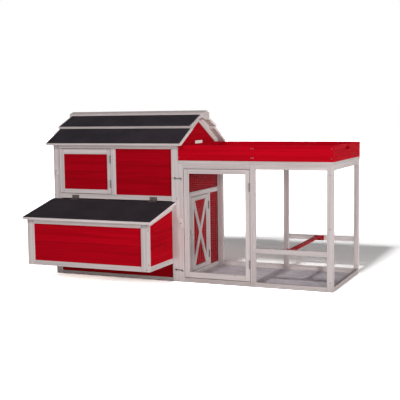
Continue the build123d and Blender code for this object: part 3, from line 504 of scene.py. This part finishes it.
def felt(node):
    """Shows felt as a sheet with rounded edges that lies a little uneven."""
    joined = bmesh.new()
    for part in loose_parts(cad_mesh(node)):
        flat_faces(part)
        along, across, through = grain_axes(part)
        if through.z < 0:
            through = -through
        rounded(part, felt_round)
        for axis in (along, across):
            places = [vert.co.dot(axis) for vert in part.verts]
            count = int((max(places) - min(places)) / felt_cell)
            for k in range(1, count):
                bmesh.ops.bisect_plane(
                    part,
                    geom=whole(part),
                    plane_co=axis * (min(places) + (max(places) - min(places)) * k / count),
                    plane_no=axis,
                )
        for vert in part.verts:
            vert.co -= through * felt_sag * (0.5 + 0.5 * noise.noise(vert.co * felt_ripples))
        twins = {vert: joined.verts.new(vert.co) for vert in part.verts}
        for face in part.faces:
            joined.faces.new([twins[vert] for vert in face.verts]).smooth = True
        part.free()
    made = show(f"{node}_sheet", joined, materials["felt"], node)
    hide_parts(node)


def tube(mesh, points, radius, sides):
    """Adds a closed round wire along straight runs between points."""
    rings = []
    for k, point in enumerate(points):
        ahead = points[min(k + 1, len(points) - 1)] - points[max(k - 1, 0)]
        ahead = ahead.normalized()
        side = ahead.orthogonal().normalized()
        other = ahead.cross(side)
        ring = []
        for j in range(sides):
            angle = 2 * math.pi * j / sides
            outward = side * math.cos(angle) + other * math.sin(angle)
            ring.append(mesh.verts.new(point + radius * outward))
        rings.append(ring)
    for near, far in zip(rings, rings[1:]):
        for j in range(sides):
            face = mesh.faces.new([near[j - 1], near[j], far[j], far[j - 1]])
            face.smooth = True
    mesh.faces.new(rings[0][::-1])
    mesh.faces.new(rings[-1])


def wire_net(node, inward):
    """Shows a net as welded wires, stapled along its border to the frame it lies on."""
    mesh = bmesh.new()
    chance = random.Random(node)
    for part in loose_parts(cad_mesh(node)):
        low, high = limits(part)
        part.free()
        normal = Vector(inward)
        flat = max(range(3), key=lambda k: abs(normal[k]))
        wide = 1 if flat == 0 else 0
        middle = (low + high) / 2
        for run, step, lift in ((2, wide, 0.0), (wide, 2, 2 * wire_radius)):
            count = int((high[step] - low[step]) / wire_pitch)
            for k in range(count):
                start = middle + normal * (lift - wire_radius)
                stray = chance.uniform(-wire_stray, wire_stray)
                start[step] += (k - (count - 1) / 2) * wire_pitch + stray
                end = start.copy()
                start[run] = low[run]
                end[run] = high[run]
                tube(mesh, [start, end], wire_radius, wire_sides)
        for run, step in ((2, wide), (wide, 2)):
            count = int((high[run] - low[run]) / staple_pitch)
            for k in range(count):
                for side in (low[step] + staple_inset, high[step] - staple_inset):
                    place = middle.copy()
                    place[run] = low[run] + (k + 0.5) * (high[run] - low[run]) / count
                    place[step] = side
                    half = Vector((0, 0, 0))
                    half[run] = staple_width / 2
                    back = place - normal * staple_sink
                    front = place + normal * staple_rise
                    bends = [back - half, front - half, front + half, back + half]
                    tube(mesh, bends, staple_radius, wire_sides)
    made = show(f"{node}_wires", mesh, materials["wire"], node)
    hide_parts(node)


def ground_sheet(node):
    """Shows the ground sheet as cloth that lies in shallow folds, flat along its edges."""
    low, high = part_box(node)
    size = high - low
    counts = [round(size[axis] / sheet_cell) for axis in (0, 1)]
    mesh = bmesh.new()
    grid = []
    for i in range(counts[0] + 1):
        column = []
        for j in range(counts[1] + 1):
            x = low.x + size.x * i / counts[0]
            y = low.y + size.y * j / counts[1]
            room = min(x - low.x, high.x - x, y - low.y, high.y - y)
            broad = noise.noise(Vector((x * 2.2, y * 5.0, 0.3)))
            fine = noise.noise(Vector((x * 7, y * 3, 2.0)))
            rise = sheet_fold * max(0.0, broad + 0.5 * fine) * min(1.0, room / sheet_hem)
            column.append(mesh.verts.new((x, y, high.z + rise)))
        grid.append(column)
    for near, far in zip(grid, grid[1:]):
        for j in range(counts[1]):
            mesh.faces.new([near[j], far[j], far[j + 1], near[j + 1]]).smooth = True
    made = show(f"{node}_cloth", mesh, materials["ground_sheet"], node)
    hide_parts(node)


def screw_head(mesh, centre, outward, up, radius, height):
    """Adds a domed screw head with a cross recess."""
    side = up.cross(outward)

    def point(across, along, lift):
        return mesh.verts.new(centre + side * across + up * along + outward * lift)

    def ring(size, lift):
        step = 2 * math.pi / screw_sides
        angles = [step / 2 + step * k for k in range(screw_sides)]
        return [point(size * math.cos(angle), size * math.sin(angle), lift) for angle in angles]

    def cross(lift):
        arm = 0.58 * radius
        half = 0.15 * radius
        corners = [
            (arm, half), (half, half), (half, arm), (-half, arm), (-half, half), (-arm, half),
            (-arm, -half), (-half, -half), (-half, -arm), (half, -arm), (half, -half), (arm, -half),
        ]
        return [point(across, along, lift) for across, along in corners]

    rings = [
        ring(radius, 0.0),
        ring(radius, 0.45 * height),
        ring(0.78 * radius, 0.9 * height),
        cross(height),
        cross(0.35 * height),
    ]
    for inner, outer in zip(rings[1:], rings):
        for k in range(screw_sides):
            face = mesh.faces.new([outer[k - 1], outer[k], inner[k], inner[k - 1]])
            face.smooth = inner is not rings[-1]
    mesh.faces.new(rings[-1])
    mesh.faces.new(rings[0][::-1])


def frame_screws(node):
    """Shows each screw head in detail: bright on the planter, dark elsewhere."""
    bright = bmesh.new()
    dark = bmesh.new()
    planter_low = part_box("planter_base")[0].z
    outward = Vector((0, -1, 0))
    for number, part in enumerate(loose_parts(cad_mesh(node))):
        low, high = limits(part)
        part.free()
        centre = (low + high) / 2
        centre.y = high.y
        turn = Matrix.Rotation(random.Random(number).uniform(0, screw_turn), 3, outward)
        on_planter = centre.z > planter_low
        radius = planter_screw_radius if on_planter else screw_radius
        mesh = bright if on_planter else dark
        screw_head(mesh, centre, outward, turn @ Vector((0, 0, 1)), radius, screw_height)
    show("planter_screws", bright, zinc, node)
    made = show("frame_screws_dark", dark, materials["dark_steel"], node)
    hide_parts(node)


def lid_hinge_screws():
    """Screw heads on the leaves of the lid's hinges."""
    axis = joint_at["nest_lid_lift"]
    down = Vector((0, -math.cos(lid_pitch), -math.sin(lid_pitch)))
    out = Vector((0, -math.sin(lid_pitch), math.cos(lid_pitch)))
    top = lid_leaf_thickness - lid_pin_offset
    forward = Vector((0, -1, 0))
    sideways = Vector((1, 0, 0))
    on_wall = bmesh.new()
    on_lid = bmesh.new()
    for part in loose_parts(cad_mesh("nest_lid_hinge_leaves")):
        low, high = limits(part)
        part.free()
        for share in hinge_screw_shares:
            foot = Vector((low.x + share * (high.x - low.x), axis.y, axis.z))
            lid_place = foot + down * hinge_screw_reach + out * top
            wall_place = foot + Vector((0, -top, hinge_screw_reach))
            screw_head(on_lid, lid_place, out, sideways, hinge_screw_radius, screw_height)
            screw_head(on_wall, wall_place, forward, sideways, hinge_screw_radius, screw_height)
    show("lid_hinge_screws", on_lid, zinc, "nest_lid_hinge_leaves")
    show("wall_hinge_screws", on_wall, zinc, "hinge_fixed_leaves")


# Every CAD node gets its look. Boards are planks: the axis that they are cut across,
# and their width.
plank_layout = {
    "house_front_boards": (2, 0.12),
    "house_left_boards": (2, 0.12),
    "house_right_boards": (2, 0.12),
    "house_back_boards": (2, 0.12),
    "house_door_panel": (2, 0.14),
    "nest_boards": (2, 0.14),
    "pop_door_panel": (1, 0.115),
    "house_floor": (1, 0.13),
    "nest_floor": (1, 0.13),
    "nest_dividers": (2, 0.15),
    "planter_floor": (1, 0.155),
}
# How bright the timber of a node is, where it is not plain: painted light and shade, node by node
painted_light_and_shade = {
    "planter_long_walls": 1.27,
    "planter_end_walls": 1.16,
    "house_right_boards": 0.64,
    "run_door_frame": 1.04,
    "nest_lid_board": 1.22,
    "house_front_boards": 0.72,
    "house_front_rails": 0.80,
    "house_door_panel": 0.91,
    "roof_front_lower_panel": 1.3,
    "roof_back_lower_panel": 1.4,
    "roof_back_upper_panel": 1.4,
    "run_back_frame": 1.3,
    "pop_door_panel": 0.82,
    "pop_door_frame": 0.90,
    "pop_door_braces": 0.94,
    "nest_boards": 1.04,
}
# Other painted light and shade for the pieces of a node that start above a height:
# lower pieces keep painted shade under the nest and planter, top rails get painted light under eave and lid
painted_light_and_shade_above = {
    "house_front_boards": ((0.30, 0.92),),
    "house_front_rails": ((0.10, 1.0), (0.90, 1.35)),
    "house_right_boards": ((0.88, 0.97),),
    "nest_front_frame": ((0.40, 1.28),),
}
# The way from a net into the run
inward_of = {
    "run_front_net": (0, 1, 0),
    "run_end_net": (-1, 0, 0),
    "run_back_nets": (0, -1, 0),
    "run_door_net": (0, 1, 0),
}
for node in sorted(frame["nodes"]):
    kind = slot_of[node]
    if kind in ("white_wood", "red_wood", "bare_wood"):
        timber(node, plank_layout.get(node), painted_light_and_shade.get(node, 1.0), painted_light_and_shade_above.get(node, ()))
    elif kind == "felt":
        felt(node)
    elif kind == "wire":
        wire_net(node, inward_of[node])
    elif kind == "ground_sheet":
        ground_sheet(node)
    elif node == "frame_screws":
        frame_screws(node)
    else:
        frame["nodes"][node].data.materials.clear()
        frame["nodes"][node].data.materials.append(materials[kind])
lid_hinge_screws()

# Floor, light and camera. The floor looks white to the camera where it is lit, and brighter
# before the coop and away from it, so that its shadow shows behind the run and along the foot
# of the house.
floor_reach = 40
# Bluish, so that the shadow under the nest, tinged by red bounced light, is painted white
front_white = rgb(4.9, 5.9, 6.5)
shadow_white = rgb(2.5, 2.5, 2.5)
far_white = rgb(5.5, 5.5, 5.5)
foot_shadow_front = -0.42
foot_shadow_back = -0.12
shadow_middle = (0.7, 1.0, 0.0)
shadow_inner = 1.4
shadow_outer = 2.3
ambient_strength = 0.05


def seen_directly(nodes, links):
    """One where a ray comes from the camera or from gloss or glass, else zero."""
    path = nodes.new("ShaderNodeLightPath")
    first = nodes.new("ShaderNodeMath")
    first.operation = "MAXIMUM"
    links.new(path.outputs["Is Camera Ray"], first.inputs[0])
    links.new(path.outputs["Is Glossy Ray"], first.inputs[1])
    both = nodes.new("ShaderNodeMath")
    both.operation = "MAXIMUM"
    links.new(first.outputs["Value"], both.inputs[0])
    links.new(path.outputs["Is Transmission Ray"], both.inputs[1])
    return both.outputs["Value"]


floor_paint = Paint("studio_floor")
speck = floor_paint.noise(floor_paint.place(), 3.0, 3.0)
mottle = floor_paint.span(speck, 0.3, 0.7)
floor_colour = floor_paint.mix(mottle, rgb(0.61, 0.61, 0.61), rgb(0.63, 0.63, 0.63))
floor_place = floor_paint.add("ShaderNodeSeparateXYZ")
floor_paint.feed(floor_place.inputs[0], floor_paint.place())
backwards = floor_paint.span(floor_place.outputs["Y"], foot_shadow_front, foot_shadow_back)
distance = floor_paint.add("ShaderNodeVectorMath", operation="DISTANCE")
floor_paint.feed(distance.inputs[0], floor_paint.place())
distance.inputs[1].default_value = shadow_middle
faraway = floor_paint.span(distance.outputs["Value"], shadow_inner, shadow_outer)
back_colour = floor_paint.mix(faraway, shadow_white, far_white)
seen_colour = floor_paint.mix(backwards, front_white, back_colour)
seen = seen_directly(floor_paint.nodes, floor_paint.links)
floor_colour = floor_paint.mix(seen, floor_colour, seen_colour)
floor_diffuse = floor_paint.add("ShaderNodeBsdfDiffuse")
floor_paint.feed(floor_diffuse.inputs["Color"], floor_colour)
surface = floor_paint.nodes["Material Output"].inputs["Surface"]
floor_paint.links.new(floor_diffuse.outputs["BSDF"], surface)
floor_paint.nodes.remove(floor_paint.shader)
floor_mesh = bmesh.new()
bmesh.ops.create_grid(floor_mesh, x_segments=1, y_segments=1, size=floor_reach)
floor_data = bpy.data.meshes.new("ground")
floor_mesh.to_mesh(floor_data)
floor_mesh.free()
floor_data.materials.append(floor_paint.material)
floor = bpy.data.objects.new("ground", floor_data)
bpy.context.scene.collection.objects.link(floor)

world = bpy.data.worlds.new("studio")
world.use_nodes = True
bpy.context.scene.world = world
sky = world.node_tree.nodes
sky_links = world.node_tree.links
ambient = sky["Background"]
ambient.inputs["Color"].default_value = rgb(1, 1, 1)
ambient.inputs["Strength"].default_value = ambient_strength
backdrop = sky.new("ShaderNodeBackground")
backdrop.inputs["Color"].default_value = rgb(1, 1, 1)
backdrop.inputs["Strength"].default_value = 1.0
choice = sky.new("ShaderNodeMixShader")
sky_links.new(seen_directly(sky, sky_links), choice.inputs["Fac"])
sky_links.new(ambient.outputs["Background"], choice.inputs[1])
sky_links.new(backdrop.outputs["Background"], choice.inputs[2])
sky_links.new(choice.outputs["Shader"], sky["World Output"].inputs["Surface"])


def sun(name, towards, strength, spread):
    """A soft distant lamp that shines from a direction."""
    data = bpy.data.lights.new(name, "SUN")
    data.energy = strength
    data.angle = math.radians(spread)
    made = bpy.data.objects.new(name, data)
    made.rotation_mode = "QUATERNION"
    made.rotation_quaternion = Vector(towards).to_track_quat("Z", "Y")
    bpy.context.scene.collection.objects.link(made)


def softbox(name, place, target, size, power):
    """A square lamp that faces a point."""
    data = bpy.data.lights.new(name, "AREA")
    data.energy = power
    data.size = size
    made = bpy.data.objects.new(name, data)
    made.location = place
    made.rotation_mode = "QUATERNION"
    made.rotation_quaternion = (Vector(place) - Vector(target)).to_track_quat("Z", "Y")
    bpy.context.scene.collection.objects.link(made)


sun("key_light", towards=(-0.02, -0.81, 0.586), strength=1.39, spread=5)
sun("side_light", towards=(0.95, -0.28, 0.04), strength=2.4, spread=12)
sun("fill_light", towards=(-0.74, 0.67, 0.01), strength=1.9, spread=10)
softbox("front_light", place=(3.4, -5.1, 1.4), target=(0, 0, 0.6), size=2.0, power=142)

camera_data = bpy.data.cameras.new("camera")
camera_data.sensor_width = 36.0
camera_data.lens = focal_pixels * camera_data.sensor_width / picture_width
camera_data.clip_end = 200.0
camera = bpy.data.objects.new("camera", camera_data)
bpy.context.scene.collection.objects.link(camera)
ahead = Vector(
    (
        -math.sin(camera_turn) * math.cos(camera_tilt),
        math.cos(camera_turn) * math.cos(camera_tilt),
        math.sin(camera_tilt),
    )
)
level = Vector((math.cos(camera_turn), math.sin(camera_turn), 0))
above = level.cross(ahead)
right = math.cos(camera_roll) * level + math.sin(camera_roll) * above
up = -math.sin(camera_roll) * level + math.cos(camera_roll) * above
turn = Matrix((right, up, -ahead)).transposed()
camera.matrix_world = Matrix.Translation(camera_place) @ turn.to_4x4()
bpy.context.scene.camera = camera
bpy.context.scene.view_settings.view_transform = "Standard"
